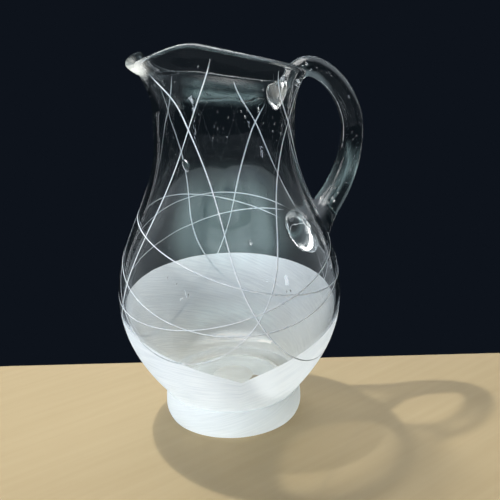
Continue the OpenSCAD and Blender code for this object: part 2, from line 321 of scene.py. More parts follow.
def srgb(text):
    """Linear colour of an sRGB hex value."""
    v = np.array([int(text[i:i + 2], 16) for i in (1, 3, 5)]) / 255
    return (*np.where(v <= 0.04045, v / 12.92, ((v + 0.055) / 1.055) ** 2.4).tolist(), 1.0)


def node(tree, kind, settings=(), inputs=()):
    """Adds a node, sets its properties and its sockets, and links those that are given a socket."""
    made = tree.nodes.new(kind)
    for key, value in dict(settings).items():
        setattr(made, key, value)
    for key, value in dict(inputs).items():
        socket = made.inputs[key]
        if isinstance(value, bpy.types.NodeSocket):
            tree.links.new(value, socket)
        else:
            socket.default_value = value
    return made


def new_material(name):
    """An empty material with its output node."""
    material = bpy.data.materials.new(name)
    material.use_nodes = True
    material.node_tree.nodes.clear()
    return material, material.node_tree, node(material.node_tree, "ShaderNodeOutputMaterial")


def tones(tree, factor, stops, interpolation="LINEAR"):
    """Colour socket of a ramp over a factor, from the position and the sRGB tone of each stop."""
    ramp = node(tree, "ShaderNodeValToRGB", inputs={"Fac": factor})
    ramp.color_ramp.interpolation = interpolation
    while len(ramp.color_ramp.elements) < len(stops):
        ramp.color_ramp.elements.new(1.0)
    for stop, (at, tone) in zip(ramp.color_ramp.elements, stops):
        stop.position, stop.color = at, srgb(tone)
    return ramp.outputs["Color"]


def blend(tree, share, first, second):
    """Shader socket of two mixed, by the share of the second."""
    return node(tree, "ShaderNodeMixShader", inputs={0: share, 1: first, 2: second}).outputs["Shader"]


def let_light_through(tree, out, skin, passed):
    """Ends a material whose skin all rays see but shadow rays, which it lets on, tinted."""
    path = node(tree, "ShaderNodeLightPath")
    through = node(tree, "ShaderNodeBsdfTransparent", inputs={"Color": passed})
    mix = blend(tree, path.outputs["Is Shadow Ray"], skin, through.outputs["BSDF"])
    tree.links.new(mix, out.inputs["Surface"])


def clear_glass(name, coordinates, stretch, ripple_mm, tint, edge_shade, painted_glow_at, painted_glow_reach, painted_glow_share):
    """Soda-lime glass, worked hot and fire-polished: IOR 1.5, no roughness, and a ripple of the given
    stretch that bends what shows through it. Light falls through it on what stands behind, and less of
    it where the wall stands edge-on to the light. Round one place a painted glow is mixed in: a white,
    milky, see-through patch that stands in for sunlight trapped in the glass. Its share fades from that
    place's middle."""
    material, tree, out = new_material(name)
    place = node(tree, "ShaderNodeTexCoord")
    drawn = node(tree, "ShaderNodeMapping", inputs={
        "Vector": place.outputs[coordinates], "Scale": stretch})
    wave = node(tree, "ShaderNodeTexNoise", inputs={
        "Vector": drawn.outputs["Vector"], "Scale": 1.0, "Detail": 1.5, "Roughness": 0.4})
    bump = node(tree, "ShaderNodeBump", inputs={
        "Height": wave.outputs["Fac"], "Distance": ripple_mm * MM, "Strength": 1.0})
    glass = node(tree, "ShaderNodeBsdfPrincipled", inputs={
        "Base Color": srgb(tint), "Roughness": 0.0, "IOR": 1.5, "Transmission Weight": 1.0,
        "Normal": bump.outputs["Normal"]})
    # Painted glow: a white translucent patch mixed in round one place, standing in for sunlight trapped
    # in the glass.
    away = node(tree, "ShaderNodeVectorMath", settings={"operation": "DISTANCE"}, inputs={
        0: place.outputs["Object"], 1: (np.asarray(painted_glow_at) * MM).tolist()})
    share = node(tree, "ShaderNodeMapRange", settings={"interpolation_type": "SMOOTHSTEP"}, inputs={
        "Value": away.outputs["Value"], "From Min": painted_glow_reach * MM,
        "From Max": 0.35 * painted_glow_reach * MM, "To Max": painted_glow_share})
    milk = node(tree, "ShaderNodeBsdfTranslucent", inputs={"Color": srgb("#F4F6F1")})
    lit = blend(tree, share.outputs["Result"], glass.outputs["BSDF"], milk.outputs["BSDF"])
    edge_on = node(tree, "ShaderNodeLayerWeight", inputs={"Blend": 0.5})
    steep = node(tree, "ShaderNodeMath", settings={"operation": "POWER"}, inputs={
        0: edge_on.outputs["Facing"], 1: edge_shade})
    passed = node(tree, "ShaderNodeMix", settings={"data_type": "RGBA"}, inputs={
        0: steep.outputs["Value"], 6: srgb("#FBFBFB"), 7: srgb("#20252A")})
    let_light_through(tree, out, lit, passed.outputs[2])
    return material


def frosted_glass(name, streak_tone):
    """Soda-lime glass blasted and brushed with grit: a white, half see-through skin. Brush streaks 1 mm
    wide and 30 mm long run round it on a slant, and a fine grain breaks the light."""
    material, tree, out = new_material(name)
    place = node(tree, "ShaderNodeTexCoord")
    slant = node(tree, "ShaderNodeMapping", settings={"vector_type": "TEXTURE"}, inputs={
        "Vector": place.outputs["UV"], "Rotation": (0, 0, radians(17)), "Scale": (0.3, 0.01, 1.0)})
    streak = node(tree, "ShaderNodeTexNoise", inputs={
        "Vector": slant.outputs["Vector"], "Scale": 1.0, "Detail": 3.0, "Roughness": 0.65})
    tone = tones(tree, streak.outputs["Fac"], ((0.34, streak_tone), (0.6, "#F2F8FB")))
    grain = node(tree, "ShaderNodeTexNoise", inputs={
        "Vector": place.outputs["Object"], "Scale": 1 / (0.9 * MM), "Detail": 2.0})
    both = node(tree, "ShaderNodeMath", settings={"operation": "ADD"}, inputs={
        0: grain.outputs["Fac"], 1: streak.outputs["Fac"]})
    bump = node(tree, "ShaderNodeBump", inputs={
        "Height": both.outputs["Value"], "Distance": 0.05 * MM, "Strength": 0.6})
    glass = node(tree, "ShaderNodeBsdfPrincipled", inputs={
        "Base Color": tone, "Roughness": 0.6, "IOR": 1.5, "Transmission Weight": 0.25,
        "Normal": bump.outputs["Normal"]})
    milk = node(tree, "ShaderNodeBsdfTranslucent", inputs={"Color": tone})
    skin = blend(tree, 0.5, glass.outputs["BSDF"], milk.outputs["BSDF"])
    let_light_through(tree, out, skin, srgb("#AEAAA1"))
    return material


def cut_glass():
    """Glass cut by a fine grinding wheel and left unpolished: a bright white line, rough inside."""
    material, tree, out = new_material("wheel_cut_glass")
    place = node(tree, "ShaderNodeTexCoord")
    nicks = node(tree, "ShaderNodeTexNoise", inputs={
        "Vector": place.outputs["Object"], "Scale": 1 / (1.6 * MM), "Detail": 3.0})
    tone = tones(tree, nicks.outputs["Fac"], ((0.25, "#D5E0EA"), (0.7, "#FCFEFF")))
    line = node(tree, "ShaderNodeBsdfPrincipled", inputs={
        "Base Color": tone, "Roughness": 0.6, "IOR": 1.5})
    milk = node(tree, "ShaderNodeBsdfTranslucent", inputs={"Color": tone})
    mix = blend(tree, 0.4, line.outputs["BSDF"], milk.outputs["BSDF"])
    tree.links.new(mix, out.inputs["Surface"])
    return material


def polished_cut():
    """The same line where it runs through the frosting: the wheel has taken the white skin off, so the
    dark inside shows through it. Here the line is opaque, and its grey is painted shade that stands in
    for that dark inside."""
    material, tree, out = new_material("wheel_cut_through_frosting")
    place = node(tree, "ShaderNodeTexCoord")
    nicks = node(tree, "ShaderNodeTexNoise", inputs={
        "Vector": place.outputs["Object"], "Scale": 1 / (2.2 * MM), "Detail": 2.0})
    # Painted shade: an opaque grey standing in for the dark inside seen through the polished line.
    tone = tones(tree, nicks.outputs["Fac"], ((0.3, "#8F9BA3"), (0.7, "#C4CDD2")))
    line = node(tree, "ShaderNodeBsdfPrincipled", inputs={
        "Base Color": tone, "Roughness": 0.35, "IOR": 1.5})
    tree.links.new(line.outputs["BSDF"], out.inputs["Surface"])
    return material


def fused_seam():
    """Where two gathers have run into one there is no surface left, so light goes straight on."""
    material, tree, out = new_material("fused_glass_seam")
    through = node(tree, "ShaderNodeBsdfTransparent", inputs={"Color": srgb("#FFFFFF")})
    tree.links.new(through.outputs["BSDF"], out.inputs["Surface"])
    return material


# The painted glow, a white patch that stands in for trapped sunlight, sits at the tip of the lip and in
# the middle of the upper pad.
LIP_TIP = edge_points(np.array([[np.pi / 2]]), np.array([[np.pi]]))[0, 0] + (0, 4, 2)
PAD_MIDDLE = (NECK_R + 5.0, 0, PAD_Z)
# The bubble's ripple is 26 mm long each way. The rod's runs along it: 1.5 mm wide and 60 mm long.
BODY_GLASS = clear_glass(
    "clear_blown_glass", "Object", (38.0, 38.0, 38.0), 0.18, "#FCFDFD", 2.4, LIP_TIP, 16.0, 0.36)
HANDLE_GLASS = clear_glass(
    "clear_drawn_glass", "UV", (14.0, 1.7, 1.0), 0.11, "#FBFCFC", 0.45, PAD_MIDDLE, 13.0, 0.6)
FROST = frosted_glass("frosted_brushed_glass", "#DEE6EC")
FOOT_FROST = frosted_glass("frosted_smooth_glass", "#E8EFF3")
CUT = cut_glass()
FROST_CUT = polished_cut()
SEAM_GLASS = fused_seam()

# --- Body: underside, outer face split at the edge of the frosting, polished edge, inner face ---

SIDES = 240
CLEAR, FROSTED, FUSED = 0, 1, 2     # the body's material slots
FROST_LOW, FROST_RISE = 48.0, 42.0
FROST_LOW_AT = radians(239)
SEEDS = 170               # gas bubbles the size of sand grains, as hand-blown glass has them
SEED_DEPTH = 1.35         # of their middles under the outer face
SEEDS_CLEAR = 0.35        # angle beside the handle that they keep out of
# Place on the outline, degrees from the handle and radius of each blister.
BLISTERS = ((1.87, 204, 2.6), (1.45, 247, 1.2), (2.3, 262, 1.0), (1.2, 300, 1.3))


def frost_height(a):
    """Height of the frosting's edge: a fold at its lowest place, then up one slow half wave, the sine of
    half the angle to a power under one, to its highest place opposite."""
    return FROST_LOW + FROST_RISE * np.abs(np.sin((a - FROST_LOW_AT) / 2)) ** 0.85


def place_at(z):
    """Place on the outline behind the handle at height z, read off a fine table."""
    s = np.linspace(0, 3, 6001)
    return np.interp(z, wall_points(s, 0 * s)[:, 2], s)


def out_at(z):
    """Radius of the wall behind the handle at height z."""
    return wall_points(place_at(np.asarray(z, float)), np.zeros(np.shape(z)))[..., 0]


def wad_seat(turn):
    """Outline of the lower seat, an ellipse, as sideways place and height from its middle."""
    return WAD_W / 2 * np.sin(turn), -WAD_H / 2 * np.cos(turn)


def pad_seat(turn):
    """Outline of the upper seat, a drop: round above, and drawn down to a narrow tail below."""
    down = np.cos(turn) > 0
    taper = np.where(down, 1 - TAIL_SHARE * np.cos(turn) ** 3, 1)
    return PAD_W / 2 * np.sin(turn) * taper, -np.cos(turn) * np.where(down, PAD_TAIL, PAD_UP)


# Each seat's outline, the height of its middle, and half the width of the wall's window round it.
SEATS = ((wad_seat, WAD_Z, 22.0), (pad_seat, PAD_Z, 16.0))
WINDOW_LOW, WINDOW_HIGH = 3.0, 2.5  # how far the window reaches past the seat, down and up


def on_wall(y, z):
    """Points of the wall behind the handle at sideways place y and height z, and their faces."""
    s = place_at(z)
    a = np.arcsin(y / out_at(z))
    return wall_points(s, a), wall_faces(s, a)


def seat_mesh(numbers, rings, outline_at, middle, first):
    """Fills a window of the grid round a seat: the window's edge blends in steps to the seat's outline,
    and shares of the outline go on to its middle. The faces within the outline are the fused seam."""
    loop = np.concatenate([numbers[0, :-1], numbers[:-1, -1], numbers[-1, :0:-1], numbers[:0:-1, 0]])
    y, z = rings.reshape(-1, 3)[loop, 1], rings.reshape(-1, 3)[loop, 2] - middle
    wide, tall = outline_at(np.pi / 2)[0], -outline_at(0.0)[1]
    turn = np.arctan2(y / wide, -z / tall)
    seat_y, seat_z = outline_at(turn)
    near = np.linspace(0, 1, 6)[1:, None] ** 0.7
    shares = np.linspace(1, 0, 10)[1:-1, None]
    all_y = np.concatenate([y + near * (seat_y - y), shares * seat_y])
    all_z = np.concatenate([z + near * (seat_z - z), shares * seat_z])
    points = on_wall(all_y, middle + all_z)[0].reshape(-1, 3)
    n = len(loop)
    ids = np.concatenate([loop[None], first + np.arange(len(points)).reshape(-1, n)])
    k = np.arange(n)
    quads = np.stack([
        ids[:-1, k], ids[:-1, (k + 1) % n], ids[1:, (k + 1) % n], ids[1:, k]], -1).reshape(-1, 4)
    seam = np.repeat(np.arange(len(ids) - 1) >= len(near), n)
    tip = first + len(points)
    tris = np.stack([ids[-1], np.roll(ids[-1], -1), np.full(n, tip)], -1)
    return np.concatenate([points, on_wall(np.zeros(1), np.full(1, middle))[0]]), quads, tris, seam


def bubbles(middle, up, face, long_r, wide_r, thin_r):
    """Egg-shaped hollows within the glass: rings of latitude scaled by three radii, along up, across
    it and along face. Their faces look inwards, out of the glass."""
    side = np.cross(up, face)
    lat = np.linspace(-np.pi / 2, np.pi / 2, 7)[1:-1, None]
    lon = np.linspace(0, 2 * np.pi, 10, endpoint=False)[None]
    globe = np.stack([np.sin(lat) + 0 * lon, np.cos(lat) * np.cos(lon), np.cos(lat) * np.sin(lon)], -1)
    ball, quads, tris = ring_skin(globe, (-1, 0, 0), (1, 0, 0))
    axes = np.stack([up * long_r[:, None], side * wide_r[:, None], face * thin_r[:, None]], 1)
    points = middle[:, None] + np.einsum("pk,nkd->npd", ball, axes)
    p = ball[quads]
    size = np.einsum("ij,ij->i", p[:, 0], np.cross(p[:, 1], p[:, 2])).sum()
    hand = np.einsum("ij,ij->i", up, np.cross(side, face))
    if size * hand[0] > 0:
        quads, tris = quads[:, ::-1], tris[:, ::-1]
    step = len(ball) * np.arange(len(middle))[:, None, None]
    return points.reshape(-1, 3), (quads + step).reshape(-1, 4), (tris + step).reshape(-1, 3)


def wall_bubbles():
    """Seeds strewn over the neck and shoulder, and a few blisters drawn long by the blowing."""
    strew = np.random.default_rng(7)
    s = strew.uniform(1.15, 2.8, SEEDS)
    a = strew.uniform(SEEDS_CLEAR, 2 * np.pi - SEEDS_CLEAR, SEEDS)
    r = strew.uniform(0.22, 0.55, SEEDS)
    big_s, big_a, big_r = np.transpose(BLISTERS)
    s, a, r = np.append(s, big_s), np.append(a, np.radians(big_a)), np.append(r, big_r)
    lean = strew.uniform(-0.5, 0.5, len(s))[:, None]
    slope, face = wall_slopes(s, a), wall_faces(s, a)
    up = np.cos(lean) * slope + np.sin(lean) * np.cross(slope, face)
    middle = wall_points(s, a) - SEED_DEPTH * face
    return bubbles(middle, up, face, r * 1.5, r * 0.8, np.minimum(0.8 * r, 0.75))


def frost_place(a):
    """Place on the outline where the frosting ends, for each angle."""
    s = np.linspace(0, 2, 1201)
    return first_over(s, wall_points(s[:, None], a[None, :])[..., 2] - frost_height(a))


def glass_body():
    """Rings from the underside up the outer face, over the edge, down the inner face and over the
    floor. The outer rings below and above the frosting's edge follow it."""
    a = np.linspace(0, 2 * np.pi, SIDES, endpoint=False)

    def all_round(s):
        """Places in rows and the angles of the columns, for each point of a grid."""
        s = s[:, None] + 0 * a if s.ndim == 1 else s
        return s, np.broadcast_to(a, s.shape)

    dish_r = np.array([0.3, 0.55, 0.8, 0.95, 1.0]) * PONTIL_D / 2
    dish_z = FOOT_H + PONTIL_DEPTH * (1 - (2 * dish_r / PONTIL_D) ** 2)
    dish = ring(dish_r[:, None], a, dish_z[:, None])
    under_r = np.array([
        PONTIL_D / 2 + 0.6, 20, HOLLOW_R - 1, HOLLOW_R, 36, 41, SEAT_R - 0.8, SEAT_R - 0.2])
    under = ring(under_r[:, None], a, FOOT_H)
    border = frost_place(a)
    low_share = np.concatenate([[0.0, 0.02], np.linspace(0.06, 1, 40)])[:, None]
    high_share = np.linspace(0, 1, 116)[1:, None]
    low = wall_points(*all_round(border * low_share))
    high = wall_points(*all_round(border + (3 - border) * high_share))
    edge = edge_points(*all_round(np.pi * np.linspace(0, 1, 13)[1:-1]))
    inner = inner_points(*all_round(np.linspace(3, FLOOR_SHARE, 90)))
    floor = floor_points(*all_round(np.linspace(0, 0.97, 26)[1:]))
    rings = np.concatenate([dish, under, low, high, edge, inner, floor])
    points, quads, tris = ring_skin(rings, (0, 0, FOOT_H + PONTIL_DEPTH), (0, 0, FLOOR_Z))

    row, column = np.divmod(np.arange(len(quads)), SIDES)
    first = len(dish) + len(under)
    on_foot = first - (under_r >= HOLLOW_R).sum()
    slots = np.full(len(quads), CLEAR)
    slots[row < len(dish)] = FROSTED
    slots[(row >= on_foot) & (row < first)] = FUSED
    slots[(row >= first) & (row < first + len(low) - 1)] = FROSTED

    kept = np.ones(len(quads), bool)
    first += len(low)
    wall_z = high[:, 0, 2]
    for outline_at, middle, half in SEATS:
        reach = int(np.ceil(half / out_at(middle) / (a[1] - a[0])))
        lowest, highest = middle + outline_at(0.0)[1], middle + outline_at(np.pi)[1]
        low_row = first + np.searchsorted(wall_z, lowest - WINDOW_LOW) - 1
        high_row = first + min(np.searchsorted(wall_z, highest + WINDOW_HIGH), len(high) - 1)
        ids = np.arange(low_row, high_row + 1)[:, None] * SIDES + np.arange(-reach, reach + 1) % SIDES
        beside = (column + reach) % SIDES < 2 * reach
        kept[:len(row)][(row >= low_row) & (row < high_row) & beside] = False
        more, more_quads, more_tris, seam = seat_mesh(ids, rings, outline_at, middle, len(points))
        points = np.concatenate([points, more])
        quads = np.concatenate([quads, more_quads])
        tris = np.concatenate([tris, more_tris])
        slots = np.concatenate([slots, np.where(seam, FUSED, CLEAR)])
        kept = np.concatenate([kept, np.ones(len(seam), bool)])

    gas = wall_bubbles()
    slots = np.concatenate([
        slots[kept], np.full(len(gas[1]), CLEAR), np.full(SIDES, FROSTED), np.full(SIDES, CLEAR),
        np.full(len(tris) - 2 * SIDES, FUSED), np.full(len(gas[2]), CLEAR)])
    points, quads, tris = with_gas(points, quads[kept], tris, gas)
    uv = turned_uv(a, BELLY_R, rings[:, 0])
    uv = np.concatenate([uv, np.zeros((len(points) - len(uv), 2))])
    return make_piece("blown_body", points, quads, tris, [BODY_GLASS, FROST, SEAM_GLASS],
                      slots, uv, 2 * np.pi * BELLY_R / UV_LENGTH)


body = glass_body()
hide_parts("body")


# --- Foot: barrelled side, ground resting ring, hollow ---

def foot_ring():
    """A closed profile turned round the axis: two arcs of a parabola outside, the ground ring with its
    bevels, and a quarter ellipse for the hollow. The flat top under the body is fused on."""
    base_r = FOOT_TOP_R - FOOT_DRAW
    widest = FOOT_TOP_R + FOOT_BULGE
    z = np.linspace(REST_BEVEL, FOOT_H - SEAM, 26)
    r = np.where(
        z < FOOT_BULGE_Z,
        widest - (widest - base_r) * (1 - z / FOOT_BULGE_Z) ** 2,
        FOOT_TOP_R + FOOT_BULGE * (1 - ((z - FOOT_BULGE_Z) / (FOOT_H - FOOT_BULGE_Z)) ** 2),
    )
    out_r = base_r - REST_BEVEL
    in_r = out_r - REST_W
    low_r = in_r - REST_BEVEL
    turn = np.linspace(np.pi / 2, 0, 22)
    hollow = np.stack([
        low_r - (low_r - HOLLOW_R) * (1 - np.cos(turn)),
        REST_BEVEL + (FOOT_H - SEAM - REST_BEVEL) * np.sin(turn)], -1)
    flat_r = np.concatenate([[SEAT_R - 0.2], np.linspace(SEAT_R - 0.5, HOLLOW_R + 0.1, 8)])
    top_flat = np.stack([flat_r, np.full(len(flat_r), FOOT_H - SEAM)], -1)
    ground = np.array([
        [in_r - 0.2, 0.05], [in_r, 0], [(in_r + out_r) / 2, 0], [out_r, 0], [out_r + 0.2, 0.05]])
    profile = np.concatenate([np.stack([r, z], -1), top_flat, hollow, ground])
    a = np.linspace(0, 2 * np.pi, 200, endpoint=False)
    points, quads, tris = ring_skin(ring(profile[:, :1], a, profile[:, 1:]))
    row = np.arange(len(quads)) // len(a)
    slots = ((row >= len(z)) & (row < len(z) + len(top_flat))).astype(int)
    return make_piece("foot_ring", points, quads, tris, [FOOT_FROST, SEAM_GLASS], slots,
                      turned_uv(a, FOOT_TOP_R, profile), 2 * np.pi * FOOT_TOP_R / UV_LENGTH)


foot = foot_ring()
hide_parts("foot")


# --- Handle: a drawn rod between two pads that follow the wall ---

WAD_R, PAD_R = float(out_at(WAD_Z)), float(out_at(PAD_Z))
ROD_LINE = np.array([
    [[WAD_R, WAD_Z], [WAD_R + WAD_PULL * cos(WAD_ANGLE), WAD_Z + WAD_PULL * sin(WAD_ANGLE)],
     [HANDLE_REACH, HANDLE_Z - HANDLE_LOW], [HANDLE_REACH, HANDLE_Z]],
    [[HANDLE_REACH, HANDLE_Z], [HANDLE_REACH, HANDLE_Z + HANDLE_HIGH],
     [ARCH_R + ARCH_PULL, ARCH_Z], [ARCH_R, ARCH_Z]],
    [[ARCH_R, ARCH_Z], [ARCH_R + (PAD_R - ARCH_R) * ARCH_SHARE, ARCH_Z],
     [PAD_R + (ARCH_Z - PAD_Z) / 2 / np.tan(PAD_LEAN), (ARCH_Z + PAD_Z) / 2], [PAD_R, PAD_Z]],
])
WAD_END, PAD_END = 0.32, 2.5        # places on the line between which the rod is round
ROD_SEEDS = 46


def rod_line(t):
    """Centre line of the rod in the plane of the handle, as distance from the axis and height."""
    k = np.clip(np.floor(t), 0, 2).astype(int)
    return cubic(ROD_LINE[k], t - k)


def rod_points(t, a):
    """Round sections along the centre line; their thickness eases from the wad to the arch."""
    q = rod_line(t)
    v = unit(rod_line(np.minimum(t + STEP, 3)) - rod_line(np.maximum(t - STEP, 0)))
    low = ROD_LOW_D + (ROD_MID_D - ROD_LOW_D) * ease(t)
    high = (ROD_TOP_D - ROD_MID_D) * ease(t - 1)
    r = (low + high) / 2
    return np.stack([
        q[..., 0] + r * np.cos(a) * v[..., 1], r * np.sin(a), q[..., 1] - r * np.cos(a) * v[..., 0]], -1)


def rod_end(outline_at, turn, middle, edge, end, pull, a):
    """One end of the rod: rings that spread over the seat, turn out from it and run into the rod."""
    y, z = outline_at(turn)
    share = np.linspace(0.12, 1, 12)[:, None]
    place, face = on_wall(share * y, middle + share * z)
    seats = place + SEAT_GAP * face
    root, face = seats[-1], face[-1]
    to = rod_points(np.full(a.shape, end), a)
    near = rod_line(np.array([end - STEP, end + STEP]))
    v = unit(near[1] - near[0])
    p = np.stack([root, root + edge * face, to - pull * np.array([v[0], 0, v[1]]), to], -2)
    share = np.linspace(0, 1, 18)[1:-1, None] + 0 * a
    return seats, cubic(p[None], share)


def rod_bubbles():
    """Seeds within the rod, drawn long by the pulling, the most of them near its thick lower end."""
    strew = np.random.default_rng(11)
    t = 0.3 + 2.0 * strew.uniform(0, 1, ROD_SEEDS) ** 1.6
    q = rod_line(t)
    v = unit(rod_line(t + STEP) - rod_line(t - STEP))
    up = np.stack([v[:, 0], 0 * t, v[:, 1]], -1)
    out = np.stack([v[:, 1], 0 * t, -v[:, 0]], -1)
    level = np.array([0.0, 1.0, 0.0])
    turn = strew.uniform(0, 2 * np.pi, ROD_SEEDS)[:, None]
    face = np.cos(turn) * out + np.sin(turn) * level
    middle = np.stack([q[:, 0], 0 * t, q[:, 1]], -1) + strew.uniform(0, 5.2, ROD_SEEDS)[:, None] * face
    r = strew.uniform(0.22, 0.5, ROD_SEEDS)
    return bubbles(middle, up, face, r * 1.9, r * 0.8, r * 0.8)


def rod_handle():
    """Rings from the lower seat out along the rod and onto the upper seat."""
    a = np.linspace(0, 2 * np.pi, 72, endpoint=False)
    wad = rod_end(wad_seat, a, WAD_Z, WAD_EDGE, WAD_END, WAD_EDGE, a)
    pad = rod_end(pad_seat, np.pi - a, PAD_Z, PAD_EDGE, PAD_END, -PAD_EDGE, a)
    t = np.linspace(WAD_END, PAD_END, 150)[:, None] + 0 * a
    rod = rod_points(t, np.broadcast_to(a, t.shape))
    rings = np.concatenate([wad[0], wad[1], rod, pad[1][::-1], pad[0][::-1]])
    ends = []
    for z in (WAD_Z, PAD_Z):
        place, face = on_wall(np.zeros(1), np.full(1, z))
        ends.append((place + SEAT_GAP * face)[0])
    points, quads, tris = ring_skin(rings, *ends)
    row = np.arange(len(quads)) // len(a)
    seam = (row < len(wad[0]) - 1) | (row >= len(rings) - len(pad[0]))
    gas = rod_bubbles()
    slots = np.concatenate([
        seam, np.zeros(len(gas[1])), np.ones(len(tris)), np.zeros(len(gas[2]))]).astype(int)
    points, quads, tris = with_gas(points, quads, tris, gas)
    run = run_along(rings.mean(1))[:, None] / UV_LENGTH
    uv = np.stack(np.broadcast_arrays(np.abs(a / np.pi - 1), run), -1)
    uv = np.concatenate([uv.reshape(-1, 2), np.zeros((len(points) - rings[..., 0].size, 2))])
    return make_piece("rod_handle", points, quads, tris, [HANDLE_GLASS, SEAM_GLASS],
                      slots, uv)


handle = rod_handle()
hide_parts("handle")

# --- Cut lines: slanting planes, equally turned, where they meet the wall ---

CUT_W = 1.05              # width of a line at its fullest
CUT_LIFT = 0.02           # of a line's edges over the wall; its middle stands three times as high
SEAT_CLEAR = 3.0          # the wheel keeps this far from the pads
LEAST_RUN = 12            # steps of a line; a shorter rest between the pads isn't cut


def ribbon(name, s, a, closed):
    """A flat band over the wall along places s and angles a. Its section is a low diamond, and its
    width waxes and wanes slowly, as a line held by hand to a wheel does. Where it crosses the frosting
    it takes the second material."""
    p, face = wall_points(s, a), wall_faces(s, a)
    ahead = np.roll(p, -1, 0) - np.roll(p, 1, 0) if closed else np.gradient(p, axis=0)
    side = unit(np.cross(face, unit(ahead)))
    t = np.linspace(0, 1, len(s))
    half = CUT_W / 2 * (0.78 + 0.16 * np.sin(2 * np.pi * 3 * t) + 0.06 * np.sin(2 * np.pi * 11 * t))
    if not closed:
        half = half * np.clip(np.minimum(t, 1 - t) * 40, 0.2, 1)
    half = half[:, None]
    rings = np.stack([
        p + CUT_LIFT * face + half * side, p + 3 * CUT_LIFT * face,
        p + CUT_LIFT * face - half * side, p + CUT_LIFT / 2 * face], 1)
    frosted = p[:, 2] < frost_height(a)
    if closed:
        points, quads, tris = ring_skin(rings)
    else:
        points, quads, tris = ring_skin(rings, p[0] + CUT_LIFT * face[0], p[-1] + CUT_LIFT * face[-1])
    ends = [frosted[0]] * 4 + [frosted[-1]] * 4 if len(tris) else []
    slots = np.concatenate([frosted[np.arange(len(quads)) // 4], ends]).astype(int)
    return make_piece(name, points, quads, tris, [CUT, FROST_CUT], slots)


def cut_line(name, s, a, closed):
    """Lays a line's ribbons, left open where it would run under one of the pads."""
    p = wall_points(s, a)
    near = np.zeros(len(s), bool)
    for outline_at, middle, _ in SEATS:
        turn = np.arctan2(p[:, 1], middle - p[:, 2])
        y, z = outline_at(turn)
        near |= (p[:, 0] > 0) & (np.hypot(p[:, 1], p[:, 2] - middle) < np.hypot(y, z) + SEAT_CLEAR)
    if closed and near.any():
        start = np.argmax(near & ~np.roll(near, -1)) + 1
        s, a, near, closed = np.roll(s, -start), np.roll(a, -start), np.roll(near, -start), False
    if not near.any():
        ribbon(name, s, a, closed)
        return
    runs = np.split(np.arange(len(s)), np.nonzero(np.diff(near.astype(int)))[0] + 1)
    runs = [run for run in runs if not near[run[0]] and len(run) > LEAST_RUN]
    for number, run in enumerate(runs):
        ribbon(f"{name}_{number + 1}" if len(runs) > 1 else name, s[run], a[run], False)


def plane_angle(s, tilt, height, reach):
    """Cosine of the angle from a plane's heading at which it meets the round wall: the plane's normal
    rises by tilt, and the plane passes at reach from the axis at that height."""
    q = outline(s)
    return (reach - (q[..., 1] - height) * sin(tilt)) / (q[..., 0] * cos(tilt))


def sweep_cut(name, heading, tilt, height, reach, top):
    """A line from the place top down one side, round its lowest place and up the other side."""
    s = np.linspace(0.02, top, 4000)
    inside = plane_angle(s, tilt, height, reach) < 1
    lowest = s[np.argmax(inside)]
    t = np.linspace(-1, 1, 481)
    s = lowest + (top - lowest) * t * t
    a = heading + np.sign(t) * np.arccos(np.clip(plane_angle(s, tilt, height, reach), -1, 1))
    cut_line(name, s, a, False)


def girdle_cut(name, heading, tilt, height):
    """A closed line round the belly, where a gently slanting plane through the axis leaves it."""
    a = np.linspace(0, 2 * np.pi, 600, endpoint=False)
    s = np.linspace(0.1, 2.2, 2401)
    r, z = np.split(outline(s), 2, axis=1)
    cut_line(name, first_over(s, z - height - np.tan(tilt) * r * np.cos(a - heading)), a, True)


# Heading and tilt in degrees and height; then, of a sweep, the plane's reach and the line's top place.
SWEEPS = (
    (24, 25, 150, 20, 2.93), (116, 23, 146, 17, 2.9), (208, 26, 152, 22, 2.93), (296, 24, 148, 19, 2.88))
GIRDLES = ((62, 25, 114), (112, 20, 123), (14, 19, 107))
for number, (heading, tilt, height, reach, top) in enumerate(SWEEPS):
    sweep_cut(f"sweep_cut_{number + 1}", radians(heading), radians(tilt), height, reach, top)
for number, (heading, tilt, height) in enumerate(GIRDLES):
    girdle_cut(f"girdle_cut_{number + 1}", radians(heading), radians(tilt), height)


# --- Table, backdrop and lamps ---

TABLE_BACK = 75.0         # how far behind the axis the table ends, in the camera's direction
TABLE_HALF, TABLE_THICK, TABLE_ROUND = 700.0, 30.0, 3.0
SKY_STRENGTH = 7.5
# Degrees over the horizon and tone: faint ground, dark all round, dim sky, bright sky overhead.
SKY = ((-34, "#1E2022"), (-19, "#020304"), (8, "#020304"),
       (24, "#202527"), (54, "#202527"), (76, "#F5F6F6"))
CARD_AWAY = 430.0         # radius of the card's cylinder round the axis
PATCH = 120.0             # size of the card's patches
LAMP_AIM = Vector((0, 0, 110))
BOUNCES = 24              # light is thrown back and forth many times in thick glass before it comes out


def level(degrees):
    """Level directions ahead and to the right at a heading, clockwise from the y axis."""
    turn = radians(degrees)
    return np.array([sin(turn), cos(turn), 0]), np.array([cos(turn), -sin(turn), 0])


def stage_sheet(name, points, faces, material):
    """A smooth sheet from millimetre points, linked to the scene but not attached to the pitcher."""
    mesh = bpy.data.meshes.new(name)
    mesh.from_pydata((points * MM).tolist(), [], faces.tolist())
    mesh.polygons.foreach_set("use_smooth", np.ones(len(mesh.polygons), bool))
    mesh.materials.append(material)
    sheet = bpy.data.objects.new(name, mesh)
    bpy.context.scene.collection.objects.link(sheet)
    return sheet


